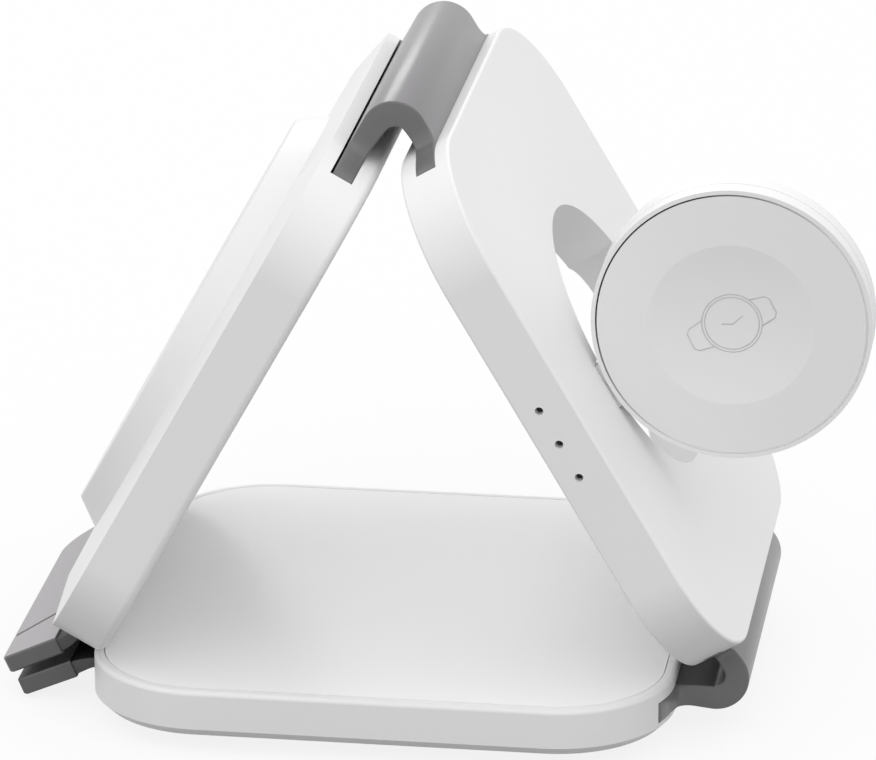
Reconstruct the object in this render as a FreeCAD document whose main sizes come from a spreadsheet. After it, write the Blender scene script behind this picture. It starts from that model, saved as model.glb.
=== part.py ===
"""Folding three-panel wireless charger, millimetres, +Z up, front towards -Y.

Three square panels form a strip: phone panel, watch panel, base. Two flexible straps join them, and the
strip is folded into a triangle that two clasp tabs close at the base's left end. Every panel is drawn in
the strip's own frame: X runs along the strip, Y across it, Z from the panel's inner face to its outer face.
The origin of the whole is the middle of the foot pad, on the surface that the charger stands on.
"""
import FreeCAD
import Part
import Sketcher
import math
import os

DIMENSIONS = (
    ("panel_length", 70.0, "each panel, along the strip"),
    ("panel_width", 70.0, "each panel, across the strip"),
    ("corner_radius", 14.1, "corners of every panel"),
    ("base_thickness", 5.9, "base panel"),
    ("watch_thickness", 6.5, "watch panel"),
    ("phone_thickness", 8.05, "phone panel"),
    ("base_edge_radius", 0.6, "rounding round the base's inner face"),
    ("watch_edge_radius", 0.3, "rounding round the watch panel's inner face"),
    ("phone_edge_radius", 1.0, "rounding round the phone panel's inner face"),
    ("base_bevel", 1.1, "bevel round the base's outer face"),
    ("watch_outer_radius", 0.35, "rounding round the watch panel's outer face"),
    ("phone_bevel", 1.25, "bevel round the phone panel's outer face, down its sides"),
    ("phone_bevel_run", 6.0, "bevel round the phone panel's outer face, across the face"),
    ("cover_inset", 1.2, "from a panel's edge to the seam of its cover"),
    ("cover_thickness", 1.0, "inner cover plates"),
    ("seam_gap", 0.1, "open seam round a cover"),
    ("floor_thickness", 1.2, "outer wall behind a cavity"),
    ("cavity_end_margin", 11.0, "from a panel's end to its cavity"),
    ("cavity_side_margin", 7.0, "from a panel's side to its cavity"),
    ("cavity_radius", 5.0, "corners of a cavity"),
    ("strap_width", 41.8, "straps and clasp tabs"),
    ("strap_thickness", 2.5, "straps"),
    ("base_level", 3.0, "from the base's inner face to the middle of its slots"),
    ("watch_level", 2.7, "from the watch panel's inner face to the middle of its lower slot"),
    ("watch_top_level", 3.35, "from the watch panel's inner face to the middle of its upper slot"),
    ("phone_level", 3.65, "from the phone panel's inner face to the middle of its slots"),
    ("slot_width", 53.8, "strap slots, wide enough to show in the rounded corners"),
    ("slot_depth", 8.0, "strap and tab slots"),
    ("slot_gap", 0.25, "open line beside the strap in the phone panel's upper slot"),
    ("fit_clearance", 0.05, "round everything that sits in a slot or recess"),
    ("bend_radius", 2.7, "middle of a folded strap"),
    ("side_reach_base", 9.2, "base's end to the corner its strap turns round"),
    ("side_reach_watch", 7.5, "watch panel's lower end to that corner"),
    ("top_reach_watch", 7.5, "watch panel's upper end to the top corner"),
    ("top_reach_phone", 8.45, "phone panel's upper end to the top corner"),
    ("clasp_reach_phone", 5.3, "phone panel's lower end to the clasp corner"),
    ("clasp_reach_base", 4.5, "base's left end to the clasp corner"),
    ("foot_height", 2.1, "soft pad under the base"),
    ("foot_margin", 6.0, "from the base's edge to the foot pad"),
    ("dial_radius", 16.5, "watch dial"),
    ("dial_thickness", 6.2, "watch dial"),
    ("dial_gap", 0.8, "between the dial and its hole when folded in"),
    ("dial_along", 36.0, "hole's centre from the watch panel's upper end"),
    ("dial_across", 0.5, "hole's centre behind the panel's middle"),
    ("dial_rim_wall", 0.5, "housing's rim round the face plate"),
    ("dial_seam_gap", 0.2, "open seam round the face plate"),
    ("rim_line_depth", 0.15, "moulded line round the housing's side"),
    ("rim_line_width", 0.25, "moulded line round the housing's side"),
    ("rim_line_level", 2.6, "moulded line behind the dial's face"),
    ("dial_wall", 1.8, "housing's wall round its cavity"),
    ("dial_back_wall", 1.1, "housing's back"),
    ("dial_edge_radius", 0.7, "rounding of the housing's back edge"),
    ("face_thickness", 1.6, "dial's face plate"),
    ("dish_radius", 9.8, "shallow dish in the face plate"),
    ("dish_depth", 0.9, "shallow dish in the face plate"),
    ("dial_opening", 90.0, "angle that the dial stands up from its panel"),
    ("hinge_outset", 1.7, "hinge axis in front of the dial's rim"),
    ("hinge_depth", 1.4, "hinge axis below the watch panel's outer face"),
    ("knuckle_radius", 0.95, "dial's hinge knuckle"),
    ("knuckle_length", 5.6, "dial's hinge knuckle"),
    ("knuckle_gap", 0.25, "between the knuckle and its notch"),
    ("pin_radius", 0.45, "hinge pin"),
    ("pin_length", 11.0, "hinge pin"),
    ("running_clearance", 0.05, "hinge pin in the knuckle"),
    ("scoop_radius", 7.5, "finger notch in the hole's back rim"),
    ("scoop_offset", 12.5, "finger notch's centre behind the hole's centre"),
    ("light_hole_radius", 0.5, "three small holes in the watch panel's front edge"),
    ("light_hole_pitch", 4.6, "three small holes"),
    ("light_hole_depth", 3.2, "three small holes"),
    ("light_hole_along", 35.3, "middle hole from the panel's upper end"),
    ("light_hole_level", 2.6, "from the panel's inner face to the holes"),
    ("light_guide_length", 2.0, "light guides at the bottom of those holes"),
    ("pad_along", 34.55, "pad's centre from the phone panel's lower end"),
    ("pad_base_radius", 28.7, "phone pad where it meets the panel"),
    ("pad_top_radius", 26.3, "phone pad's face"),
    ("pad_height", 3.4, "phone pad"),
    ("pad_edge_radius", 0.6, "rounding of the pad's face edge"),
    ("pad_wall", 1.0, "phone pad's face wall"),
    ("pad_cavity_radius", 24.8, "hollow under the phone pad"),
    ("magnet_ring_inner", 20.6, "ring of magnets under the phone pad"),
    ("magnet_ring_outer", 24.5, "ring of magnets under the phone pad"),
    ("magnet_ring_height", 1.8, "ring of magnets under the phone pad"),
    ("phone_coil_outer", 20.0, "phone coil"),
    ("phone_coil_inner", 9.5, "phone coil"),
    ("earbud_coil_outer", 20.0, "base coil"),
    ("earbud_coil_inner", 9.0, "base coil"),
    ("watch_coil_outer", 13.8, "dial coil"),
    ("watch_coil_inner", 6.2, "dial coil"),
    ("watch_magnet_radius", 5.6, "dial's middle magnet"),
    ("coil_thickness", 0.8, "coils"),
    ("shield_thickness", 0.6, "shields behind the coils"),
    ("board_thickness", 1.0, "circuit boards"),
    ("board_margin", 3.0, "from a cavity's edge to its circuit board"),
    ("strip_board_length", 6.0, "narrow board beside the dial's hole"),
    ("strip_board_width", 40.0, "narrow board beside the dial's hole"),
    ("strip_pocket_depth", 1.6, "its pocket below the cover"),
    ("socket_width", 9.0, "power inlet, outside"),
    ("socket_height", 3.2, "power inlet, outside"),
    ("socket_wall", 0.3, "power inlet"),
    ("socket_roundness", 0.98, "corner radius as a share of half the inlet's height"),
    ("socket_length", 7.6, "power inlet"),
    ("tongue_width", 6.6, "contact tongue in the inlet"),
    ("tongue_thickness", 0.7, "contact tongue in the inlet"),
    ("tab_length", 7.2, "clasp tab plates"),
    ("tab_thickness", 2.2, "clasp tab plates"),
    ("tab_front_radius", 0.7, "front corner of a clasp tab's tip"),
    ("tab_back_radius", 6.8, "back corner of a clasp tab's tip"),
    ("tab_chamfer", 0.2, "edges of a clasp tab's tip"),
    ("tab_gap", 1.0, "between the two tabs at their tips"),
    ("tab_overhang", 0.4, "upper tab's tip past the lower one"),
    ("lower_tab_neck", 2.94, "base's end to the lower tab's plate"),
    ("lower_tab_sink", 0.87, "lower plate below its slot"),
    ("lower_tab_droop_angle", 23.0, "lower plate's slope in degrees"),
    ("upper_tab_droop_angle", 24.5, "upper plate's slope in degrees"),
    ("neck_thickness", 1.2, "clasp tabs' flexible necks"),
    ("groove_width", 0.7, "moulded line across the upper tab"),
    ("groove_depth", 0.4, "moulded line across the upper tab"),
    ("groove_inset", 7.0, "moulded line from the tab's front end, at the tip"),
    ("groove_slant", 4.1, "how far the moulded line runs back on its way to the neck"),
    ("bar_length", 30.0, "clasp magnet bars"),
    ("bar_width", 3.6, "clasp magnet bars"),
    ("bar_thickness", 1.2, "clasp magnet bars"),
)

LIGHT_HOLE_COUNT = 3
SYMMETRIC = "Symmetric"
TOLERANCE = 1e-4

doc = FreeCAD.newDocument("charger")
dims = doc.addObject("Spreadsheet::Sheet", "dims")
for row, (alias, size, meaning) in enumerate(DIMENSIONS, start=1):
    dims.set(f"A{row}", meaning)
    dims.set(f"B{row}", str(size))
    dims.setAlias(f"B{row}", alias)
doc.recompute()

parts = []


def val(alias):
    """One driving dimension as a number."""
    return float(dims.get(alias))


def number(expression):
    """A formula of the sheet's dimensions as a number."""
    result = dims.evalExpression(expression)
    return float(getattr(result, "Value", result))


def new_body(label, frame):
    """An empty body that becomes one sub-part, placed by its panel's frame."""
    body = doc.addObject("PartDesign::Body", label)
    body.Label = label
    body.Placement = frame
    parts.append(body)
    return body


def new_sketch(body, role, offset="0"):
    """A sketch on one of the body's own planes, moved along the plane's normal by a formula."""
    sketch = body.newObject("Sketcher::SketchObject", "sketch")
    plane = next(item for item in body.Origin.OriginFeatures if item.Role == role)
    sketch.AttachmentSupport = [(plane, "")]
    sketch.MapMode = "FlatFace"
    sketch.setExpression("AttachmentOffset.Base.z", offset)
    return sketch


def bind(sketch, constraint, formula):
    """Add a dimension to a sketch and tie it to the sheet."""
    index = sketch.addConstraint(constraint)
    sketch.setExpression(f"Constraints[{index}]", formula)


def place_point(sketch, geometry, point, along, across):
    """Tie one point of a sketch to two formulas, measured from the sketch's origin."""
    bind(sketch, Sketcher.Constraint("DistanceX", -1, 1, geometry, point, number(along)), along)
    bind(sketch, Sketcher.Constraint("DistanceY", -1, 1, geometry, point, number(across)), across)


def draw_circle(sketch, along, across, radius):
    """A circle whose centre and radius are formulas."""
    centre = FreeCAD.Vector(number(along), number(across), 0)
    circle = sketch.addGeometry(Part.Circle(centre, FreeCAD.Vector(0, 0, 1), number(radius)))
    bind(sketch, Sketcher.Constraint("Radius", circle, number(radius)), radius)
    place_point(sketch, circle, 3, along, across)


def draw_rectangle(sketch, low, high):
    """A rectangle between two corners, each a pair of formulas."""
    corners = [(low[0], low[1]), (high[0], low[1]), (high[0], high[1]), (low[0], high[1])]
    points = [FreeCAD.Vector(number(x), number(y), 0) for x, y in corners]
    sides = [sketch.addGeometry(Part.LineSegment(points[i], points[(i + 1) % 4])) for i in range(4)]
    for i in range(4):
        sketch.addConstraint(Sketcher.Constraint("Coincident", sides[i], 2, sides[(i + 1) % 4], 1))
        direction = "Horizontal" if i % 2 == 0 else "Vertical"
        sketch.addConstraint(Sketcher.Constraint(direction, sides[i]))
    place_point(sketch, sides[0], 1, *corners[0])
    place_point(sketch, sides[2], 1, *corners[2])


def draw_polygon(sketch, corners):
    """A closed outline of straight lines through corners that are each a pair of formulas."""
    count = len(corners)
    points = [FreeCAD.Vector(number(x), number(y), 0) for x, y in corners]
    lines = [Part.LineSegment(points[i], points[(i + 1) % count]) for i in range(count)]
    sides = [sketch.addGeometry(line) for line in lines]
    for i in range(count):
        sketch.addConstraint(Sketcher.Constraint("Coincident", sides[i], 2, sides[(i + 1) % count], 1))
        place_point(sketch, sides[i], 1, *corners[i])


def draw_rounded(sketch, low, high, radius):
    """A rectangle with round corners: four lines and four tangent arcs of one radius."""
    x0, y0, x1, y1, r = (number(item) for item in (*low, *high, radius))
    normal = FreeCAD.Vector(0, 0, 1)
    starts = ((x0 + r, y0), (x1, y0 + r), (x1 - r, y1), (x0, y1 - r))
    ends = ((x1 - r, y0), (x1, y1 - r), (x0 + r, y1), (x0, y0 + r))
    centres = ((x1 - r, y0 + r), (x1 - r, y1 - r), (x0 + r, y1 - r), (x0 + r, y0 + r))
    lines = []
    arcs = []
    for i in range(4):
        first = FreeCAD.Vector(*starts[i], 0)
        lines.append(sketch.addGeometry(Part.LineSegment(first, FreeCAD.Vector(*ends[i], 0))))
        circle = Part.Circle(FreeCAD.Vector(*centres[i], 0), normal, r)
        begin = math.radians(90 * i - 90)
        arcs.append(sketch.addGeometry(Part.ArcOfCircle(circle, begin, begin + math.pi / 2)))
    for i in range(4):
        sketch.addConstraint(Sketcher.Constraint("Tangent", lines[i], 2, arcs[i], 1))
        sketch.addConstraint(Sketcher.Constraint("Tangent", arcs[i], 2, lines[(i + 1) % 4], 1))
        direction = "Horizontal" if i % 2 == 0 else "Vertical"
        sketch.addConstraint(Sketcher.Constraint(direction, lines[i]))
    for i in range(1, 4):
        sketch.addConstraint(Sketcher.Constraint("Equal", arcs[0], arcs[i]))
    bind(sketch, Sketcher.Constraint("Radius", arcs[0], r), radius)
    bind(sketch, Sketcher.Constraint("DistanceY", -1, 1, lines[0], 1, y0), low[1])
    bind(sketch, Sketcher.Constraint("DistanceX", -1, 1, lines[1], 1, x1), high[0])
    bind(sketch, Sketcher.Constraint("DistanceY", -1, 1, lines[2], 1, y1), high[1])
    bind(sketch, Sketcher.Constraint("DistanceX", -1, 1, lines[3], 1, x0), low[0])


def extrude(body, kind, sketch, length, reverse=False, side="One side"):
    """Pad or pocket a sketch by a formula, and make sure that a pocket removes material."""
    before = body.Shape.Volume if kind == "PartDesign::Pocket" else 0.0
    feature = body.newObject(kind, "feature")
    feature.Profile = sketch
    feature.SideType = side
    feature.Reversed = reverse
    feature.setExpression("Length", length)
    doc.recompute()
    if kind == "PartDesign::Pocket" and body.Shape.Volume > before - TOLERANCE:
        raise RuntimeError(f"a pocket of {body.Label} cuts nothing")
    return feature


def pad(body, sketch, length, reverse=False, side="One side"):
    """Add material from a sketch."""
    return extrude(body, "PartDesign::Pad", sketch, length, reverse, side)


def pocket(body, sketch, length, reverse=False, side="One side"):
    """Remove material from a sketch, against its normal unless reversed."""
    return extrude(body, "PartDesign::Pocket", sketch, length, reverse, side)


def dress(body, kind, size_name, formula, wanted):
    """Round or bevel the edges of the body's last feature that a test picks."""
    base = body.Tip
    names = [f"Edge{i}" for i, edge in enumerate(base.Shape.Edges, start=1) if wanted(edge)]
    feature = body.newObject(kind, "edge_finish")
    feature.Base = (base, names)
    feature.setExpression(size_name, formula)
    doc.recompute()
    return feature


def edges_at_height(height):
    """A test for edges that lie flat at one height."""
    def flat(edge):
        box = edge.BoundBox
        return abs(box.ZMin - height) < TOLERANCE and abs(box.ZMax - height) < TOLERANCE
    return flat


def round_edges(body, radius, height):
    """Round every edge of the body that lies flat at one height."""
    dress(body, "PartDesign::Fillet", "Radius", radius, edges_at_height(height))


def disc(body, centre, radius, start, length):
    """A round plate that starts at one height and grows towards the outer face."""
    sketch = new_sketch(body, "XY_Plane", start)
    draw_circle(sketch, *centre, radius)
    return pad(body, sketch, length)


def ring(label, frame, centre, radii, start, length):
    """A flat ring, such as a coil: outer and inner radius, start height and thickness."""
    body = new_body(label, frame)
    sketch = new_sketch(body, "XY_Plane", start)
    draw_circle(sketch, *centre, radii[0])
    draw_circle(sketch, *centre, radii[1])
    pad(body, sketch, length)
    return body


def cut_slot(body, at_far_end, width, height, level, gap="0"):
    """A flat slot in one end of a panel at a given level, with a gap left open on its outer side."""
    sketch = new_sketch(body, "YZ_Plane", "dims.panel_length" if at_far_end else "0")
    half = f"({width}) / 2"
    low = (f"-{half}", f"{level} - ({height}) / 2")
    high = (half, f"{level} + ({height}) / 2 + {gap}")
    draw_rectangle(sketch, low, high)
    pocket(body, sketch, "dims.slot_depth", reverse=not at_far_end)


def panel_block(body, thickness, inner_radius):
    """A panel's solid block with its round corners and rounded inner edge."""
    sketch = new_sketch(body, "XY_Plane")
    half = "dims.panel_width / 2"
    draw_rounded(sketch, ("0", f"-{half}"), ("dims.panel_length", half), "dims.corner_radius")
    block = pad(body, sketch, thickness)
    round_edges(body, inner_radius, 0.0)
    return block


def wide_bevel(body, thickness):
    """A shallow bevel round a panel's outer face: short down the sides, long across the face."""
    bevel = dress(body, "PartDesign::Chamfer", "Size", "dims.phone_bevel", edges_at_height(number(thickness)))
    bevel.ChamferType = "Two distances"
    bevel.setExpression("Size2", "dims.phone_bevel_run")
    doc.recompute()


def inset_outline(sketch, inset):
    """The panel's outline, drawn in by a formula."""
    half = f"dims.panel_width / 2 - ({inset})"
    low = (inset, f"-({half})")
    high = (f"dims.panel_length - ({inset})", half)
    draw_rounded(sketch, low, high, f"dims.corner_radius - ({inset})")


def cover_recess(body):
    """The shallow seat of a panel's cover, open to the inner face."""
    sketch = new_sketch(body, "XY_Plane")
    inset_outline(sketch, "dims.cover_inset")
    pocket(body, sketch, "dims.cover_thickness", reverse=True)


def cover_plate(label, frame):
    """A cover that fills the recess but for its seam."""
    body = new_body(label, frame)
    sketch = new_sketch(body, "XY_Plane")
    inset_outline(sketch, "dims.cover_inset + dims.seam_gap")
    pad(body, sketch, "dims.cover_thickness")
    return body


def cavity(body, thickness):
    """The hollow for a panel's electronics, between the slots and behind the cover."""
    sketch = new_sketch(body, "XY_Plane", "dims.cover_thickness")
    half = "dims.panel_width / 2 - dims.cavity_side_margin"
    low = ("dims.cavity_end_margin", f"-({half})")
    high = ("dims.panel_length - dims.cavity_end_margin", half)
    draw_rounded(sketch, low, high, "dims.cavity_radius")
    pocket(body, sketch, f"{thickness} - dims.cover_thickness - dims.floor_thickness", reverse=True)


def cavity_board(label, frame, thickness):
    """A circuit board lying on a cavity's floor."""
    body = new_body(label, frame)
    sketch = new_sketch(body, "XY_Plane", f"{thickness} - dims.floor_thickness")
    margin = "dims.cavity_end_margin + dims.board_margin"
    half = "dims.panel_width / 2 - dims.cavity_side_margin - dims.board_margin"
    draw_rectangle(sketch, (margin, f"-({half})"), (f"dims.panel_length - ({margin})", half))
    pad(body, sketch, "dims.board_thickness", reverse=True)


def triangle_frames():
    """Frames of the three panels, from the triangle that their slot lines make.

    Each side of the triangle is a panel's length and the two reaches at its ends, so the three sides give
    the panels' slopes. A frame turns about Y and puts the panel's slot line on its side of the triangle.
    The watch panel's upper slot lies further out than its lower one, which lifts the top strap's corner.
    """
    length = val("panel_length")
    base_side = val("clasp_reach_base") + length + val("side_reach_base")
    watch_side = val("side_reach_watch") + length + val("top_reach_watch")
    phone_side = val("top_reach_phone") + length + val("clasp_reach_phone")
    squares = base_side ** 2 + watch_side ** 2 - phone_side ** 2
    watch_slope = math.acos(squares / (2 * base_side * watch_side))
    squares = base_side ** 2 + phone_side ** 2 - watch_side ** 2
    phone_slope = math.acos(squares / (2 * base_side * phone_side))
    line_height = val("foot_height") + val("base_thickness") - val("base_level")
    right = FreeCAD.Vector(length / 2 + val("side_reach_base"), 0, line_height)
    left = FreeCAD.Vector(-length / 2 - val("clasp_reach_base"), 0, line_height)
    up_left = FreeCAD.Vector(math.cos(phone_slope), 0, math.sin(phone_slope))
    top = left + up_left * phone_side
    rise = (val("watch_top_level") - val("watch_level")) / math.sin(phone_slope + watch_slope)
    corners = {"right": right, "top": top + up_left * rise}

    def frame(start, angle, level):
        turn = FreeCAD.Rotation(FreeCAD.Vector(0, 1, 0), math.degrees(angle))
        return FreeCAD.Placement(start - turn.multVec(FreeCAD.Vector(0, 0, val(level))), turn)

    phone_start = left + up_left * val("clasp_reach_phone")
    down_right = FreeCAD.Vector(math.cos(watch_slope), 0, -math.sin(watch_slope))
    watch_start = top + down_right * val("top_reach_watch")
    base_start = FreeCAD.Vector(length / 2, 0, line_height)
    frames = {
        "phone": frame(phone_start, -phone_slope, "phone_level"),
        "watch": frame(watch_start, watch_slope, "watch_level"),
        "base": frame(base_start, math.pi, "base_level"),
    }
    return frames, corners


FRAMES, CORNERS = triangle_frames()
ORIGIN_FRAME = FreeCAD.Placement()
PANEL_CENTRE = ("dims.panel_length / 2", "0")
PAD_CENTRE = ("dims.pad_along", "0")
STRAP_SLOT = "dims.strap_thickness + 2 * dims.fit_clearance"
NECK_SLOT = "dims.neck_thickness + 2 * dims.fit_clearance"
TAB_SLOT_WIDTH = "dims.strap_width + 2 * dims.fit_clearance"


def build_base():
    """Base panel: tray, cover, coil, shield, board, inlet and foot."""
    frame = FRAMES["base"]
    thickness = "dims.base_thickness"
    tray = new_body("base_tray", frame)
    block = panel_block(tray, thickness, "dims.base_edge_radius")
    dress(tray, "PartDesign::Chamfer", "Size", "dims.base_bevel", edges_at_height(number(thickness)))
    cut_slot(tray, False, "dims.slot_width", STRAP_SLOT, "dims.base_level")
    cut_slot(tray, True, TAB_SLOT_WIDTH, NECK_SLOT, "dims.base_level")
    cover_recess(tray)
    cavity(tray, thickness)
    inlet_opening(tray)

    cover_plate("base_cover", frame)
    radii = ("dims.earbud_coil_outer", "dims.earbud_coil_inner")
    ring("base_coil", frame, PANEL_CENTRE, radii, "dims.cover_thickness", "dims.coil_thickness")
    shield = new_body("base_shield", frame)
    start = "dims.cover_thickness + dims.coil_thickness"
    disc(shield, PANEL_CENTRE, "dims.earbud_coil_outer", start, "dims.shield_thickness")
    cavity_board("base_board", frame, thickness)
    build_socket(frame)

    foot = new_body("foot_pad", frame)
    sketch = new_sketch(foot, "XY_Plane", thickness)
    inset_outline(sketch, "dims.foot_margin")
    pad(foot, sketch, "dims.foot_height")
    return block


def draw_socket(sketch, shrink):
    """The inlet's outline: a flat oval, drawn in by a formula."""
    width = f"dims.socket_width / 2 - ({shrink})"
    height = f"dims.socket_height / 2 - ({shrink})"
    middle = "dims.base_thickness / 2"
    low = (f"dims.panel_length / 2 - ({width})", f"{middle} - ({height})")
    high = (f"dims.panel_length / 2 + ({width})", f"{middle} + ({height})")
    draw_rounded(sketch, low, high, f"({height}) * dims.socket_roundness")


def inlet_opening(tray):
    """The opening for the inlet through the tray's back wall."""
    sketch = new_sketch(tray, "XZ_Plane", "-dims.panel_width / 2")
    draw_socket(sketch, "-dims.fit_clearance")
    pocket(tray, sketch, "dims.cavity_side_margin + dims.cavity_radius", reverse=True)


def build_socket(frame):
    """Power inlet: an oval metal sleeve with a contact tongue, flush with the base's back edge."""
    body = new_body("inlet_socket", frame)
    sketch = new_sketch(body, "XZ_Plane", "-dims.panel_width / 2")
    draw_socket(sketch, "0")
    pad(body, sketch, "dims.socket_length")
    hollow = new_sketch(body, "XZ_Plane", "-dims.panel_width / 2")
    draw_socket(hollow, "dims.socket_wall")
    pocket(body, hollow, "dims.socket_length - 2 * dims.socket_wall", reverse=True)
    tongue = new_sketch(body, "XZ_Plane", "-dims.panel_width / 2 + dims.socket_length - dims.socket_wall")
    middle = "dims.base_thickness / 2"
    low = ("dims.panel_length / 2 - dims.tongue_width / 2", f"{middle} - dims.tongue_thickness / 2")
    high = ("dims.panel_length / 2 + dims.tongue_width / 2", f"{middle} + dims.tongue_thickness / 2")
    draw_rectangle(tongue, low, high)
    pad(body, tongue, "dims.socket_length - 4 * dims.socket_wall", reverse=True)


DIAL_CENTRE = ("dims.dial_along", "dims.dial_across")
HINGE_ACROSS = "dims.dial_across - dims.dial_radius - dims.hinge_outset"
HINGE_HEIGHT = "dims.watch_thickness - dims.hinge_depth"


def dial_hole(sketch):
    """The round hole that the dial folds into."""
    draw_circle(sketch, *DIAL_CENTRE, "dims.dial_radius + dims.dial_gap")


def finger_scoop(body):
    """A round notch in the hole's back rim, for lifting the dial with a fingertip."""
    sketch = new_sketch(body, "XY_Plane")
    centre = ("dims.dial_along", "dims.dial_across + dims.scoop_offset")
    draw_circle(sketch, *centre, "dims.scoop_radius")
    pocket(body, sketch, "dims.watch_thickness", reverse=True)


def build_watch_panel():
    """Watch panel: shell with the dial's hole and hinge notch, cover, board and light guides."""
    frame = FRAMES["watch"]
    thickness = "dims.watch_thickness"
    shell = new_body("watch_panel_shell", frame)
    block = panel_block(shell, thickness, "dims.watch_edge_radius")
    round_edges(shell, "dims.watch_outer_radius", number(thickness))
    cut_slot(shell, False, "dims.slot_width", STRAP_SLOT, "dims.watch_top_level")
    cut_slot(shell, True, "dims.slot_width", STRAP_SLOT, "dims.watch_level")
    cover_recess(shell)
    hole = new_sketch(shell, "XY_Plane")
    dial_hole(hole)
    pocket(shell, hole, thickness, reverse=True)
    finger_scoop(shell)
    hinge_notch(shell)
    light_holes(shell)
    strip_pocket(shell)

    cover = cover_plate("watch_panel_cover", frame)
    hole = new_sketch(cover, "XY_Plane")
    dial_hole(hole)
    pocket(cover, hole, "dims.cover_thickness", reverse=True)
    finger_scoop(cover)

    board = new_body("watch_panel_board", frame)
    sketch = new_sketch(board, "XY_Plane", "dims.cover_thickness + dims.strip_pocket_depth")
    draw_strip(sketch, "0")
    pad(board, sketch, "dims.board_thickness", reverse=True)

    guides = new_body("light_guides", frame)
    depth = "dims.panel_width / 2 - dims.light_hole_depth"
    sketch = new_sketch(guides, "XZ_Plane", depth)
    draw_light_holes(sketch, "dims.light_hole_radius - dims.fit_clearance")
    pad(guides, sketch, "dims.light_guide_length")
    return block


def hinge_notch(shell):
    """Room for the dial's knuckle in the hole's front rim, and the bores for its pin."""
    half = "dims.knuckle_length / 2 + dims.knuckle_gap"
    reach = "dims.knuckle_radius + dims.knuckle_gap"
    sketch = new_sketch(shell, "XY_Plane", "dims.watch_thickness")
    low = (f"dims.dial_along - ({half})", f"{HINGE_ACROSS} - ({reach})")
    high = (f"dims.dial_along + ({half})", "dims.dial_across - dims.dial_radius / 2")
    draw_rectangle(sketch, low, high)
    pocket(shell, sketch, f"dims.hinge_depth + {reach}")
    bore = new_sketch(shell, "YZ_Plane", "dims.dial_along")
    draw_circle(bore, HINGE_ACROSS, HINGE_HEIGHT, "dims.pin_radius")
    pocket(shell, bore, "dims.pin_length", side=SYMMETRIC)


def draw_light_holes(sketch, radius):
    """Three small circles in a row along the panel."""
    for step in range(LIGHT_HOLE_COUNT):
        place = step - (LIGHT_HOLE_COUNT - 1) / 2
        along = f"dims.light_hole_along + {place} * dims.light_hole_pitch"
        draw_circle(sketch, along, "dims.light_hole_level", radius)


def light_holes(shell):
    """Three small holes in the panel's front edge."""
    sketch = new_sketch(shell, "XZ_Plane", "dims.panel_width / 2")
    draw_light_holes(sketch, "dims.light_hole_radius")
    pocket(shell, sketch, "dims.light_hole_depth")


def draw_strip(sketch, margin):
    """The narrow board's outline between the upper slot and the dial's hole."""
    edge = f"dims.dial_along - dims.dial_radius - dims.dial_gap - dims.floor_thickness + {margin}"
    half = f"dims.strip_board_width / 2 + {margin}"
    draw_rectangle(sketch, (f"{edge} - dims.strip_board_length - 2 * {margin}", f"-({half})"), (edge, half))


def strip_pocket(shell):
    """The narrow board's pocket, open towards the cover."""
    sketch = new_sketch(shell, "XY_Plane", "dims.cover_thickness")
    draw_strip(sketch, "dims.fit_clearance")
    pocket(shell, sketch, "dims.strip_pocket_depth", reverse=True)


def dial_frame():
    """The dial stands up from its panel by turning about the hinge axis, which runs along the panel."""
    hinge = FreeCAD.Vector(0, number(HINGE_ACROSS), number(HINGE_HEIGHT))
    turn = FreeCAD.Rotation(FreeCAD.Vector(1, 0, 0), val("dial_opening"))
    return FRAMES["watch"] * FreeCAD.Placement(hinge - turn.multVec(hinge), turn)


def build_dial():
    """Watch dial: housing with its hinge knuckle, face plate, coil, shield, magnet and hinge pin."""
    frame = dial_frame()
    back = "dims.watch_thickness - dims.dial_thickness"
    housing = new_body("dial_housing", frame)
    disc(housing, DIAL_CENTRE, "dims.dial_radius", back, "dims.dial_thickness")
    round_edges(housing, "dims.dial_edge_radius", number(back))
    line = new_sketch(housing, "XY_Plane", "dims.watch_thickness - dims.rim_line_level")
    draw_circle(line, *DIAL_CENTRE, "dims.dial_radius + dims.dial_gap")
    draw_circle(line, *DIAL_CENTRE, "dims.dial_radius - dims.rim_line_depth")
    pocket(housing, line, "dims.rim_line_width")
    add_knuckle(housing)
    recess = new_sketch(housing, "XY_Plane", "dims.watch_thickness")
    draw_circle(recess, *DIAL_CENTRE, "dims.dial_radius - dims.dial_rim_wall")
    pocket(housing, recess, "dims.face_thickness")
    hollow = new_sketch(housing, "XY_Plane", "dims.watch_thickness - dims.face_thickness")
    draw_circle(hollow, *DIAL_CENTRE, "dims.dial_radius - dims.dial_wall")
    pocket(housing, hollow, "dims.dial_thickness - dims.face_thickness - dims.dial_back_wall")

    face = new_body("dial_face", frame)
    start = "dims.watch_thickness - dims.face_thickness"
    face_radius = "dims.dial_radius - dims.dial_rim_wall - dims.dial_seam_gap"
    disc(face, DIAL_CENTRE, face_radius, start, "dims.face_thickness")
    cut_dish(face)

    radii = ("dims.watch_coil_outer", "dims.watch_coil_inner")
    coil_start = f"{start} - dims.coil_thickness"
    ring("dial_coil", frame, DIAL_CENTRE, radii, coil_start, "dims.coil_thickness")
    shield = new_body("dial_shield", frame)
    shield_start = f"{coil_start} - dims.shield_thickness"
    disc(shield, DIAL_CENTRE, "dims.watch_coil_outer", shield_start, "dims.shield_thickness")
    magnet = new_body("dial_magnet", frame)
    disc(magnet, DIAL_CENTRE, "dims.watch_magnet_radius", coil_start, "dims.coil_thickness")

    pin = new_body("dial_hinge_pin", FRAMES["watch"])
    sketch = new_sketch(pin, "YZ_Plane", "dims.dial_along")
    draw_circle(sketch, HINGE_ACROSS, HINGE_HEIGHT, "dims.pin_radius")
    pad(pin, sketch, "dims.pin_length", side=SYMMETRIC)


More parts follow.
